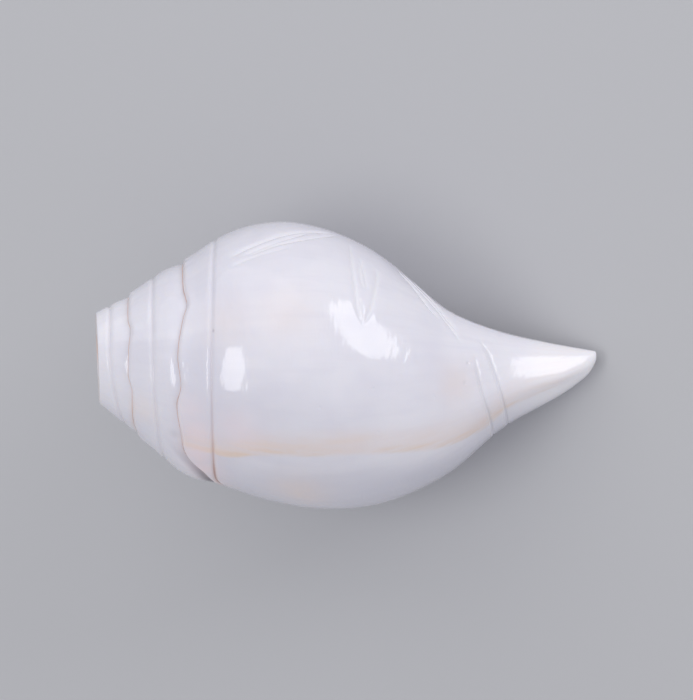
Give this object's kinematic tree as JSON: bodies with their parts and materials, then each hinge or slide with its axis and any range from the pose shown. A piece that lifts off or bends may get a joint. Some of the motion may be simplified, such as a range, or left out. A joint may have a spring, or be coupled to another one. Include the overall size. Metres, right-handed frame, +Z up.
{
  "type": "conch shell",
  "caption": "Chank conch made into a blowing horn: polished white spiral shell with a sawn, bored spire, a long side mouth with a folded column and an open canal.",
  "frame": {"origin": "centre of the bounding box's bottom face, on the surface that the shell lies on", "axes": "+X from the sawn spire towards the tip of the canal, which dips to the surface; +Y sideways, away from the outer lip; +Z up, out of the shell's back"},
  "size_m": [0.1452, 0.0868, 0.0785],
  "materials": {
    "shell": "polished"
  },
  "bodies": {
    "root": {"shell": "shell"}
  },
  "joints": []
}
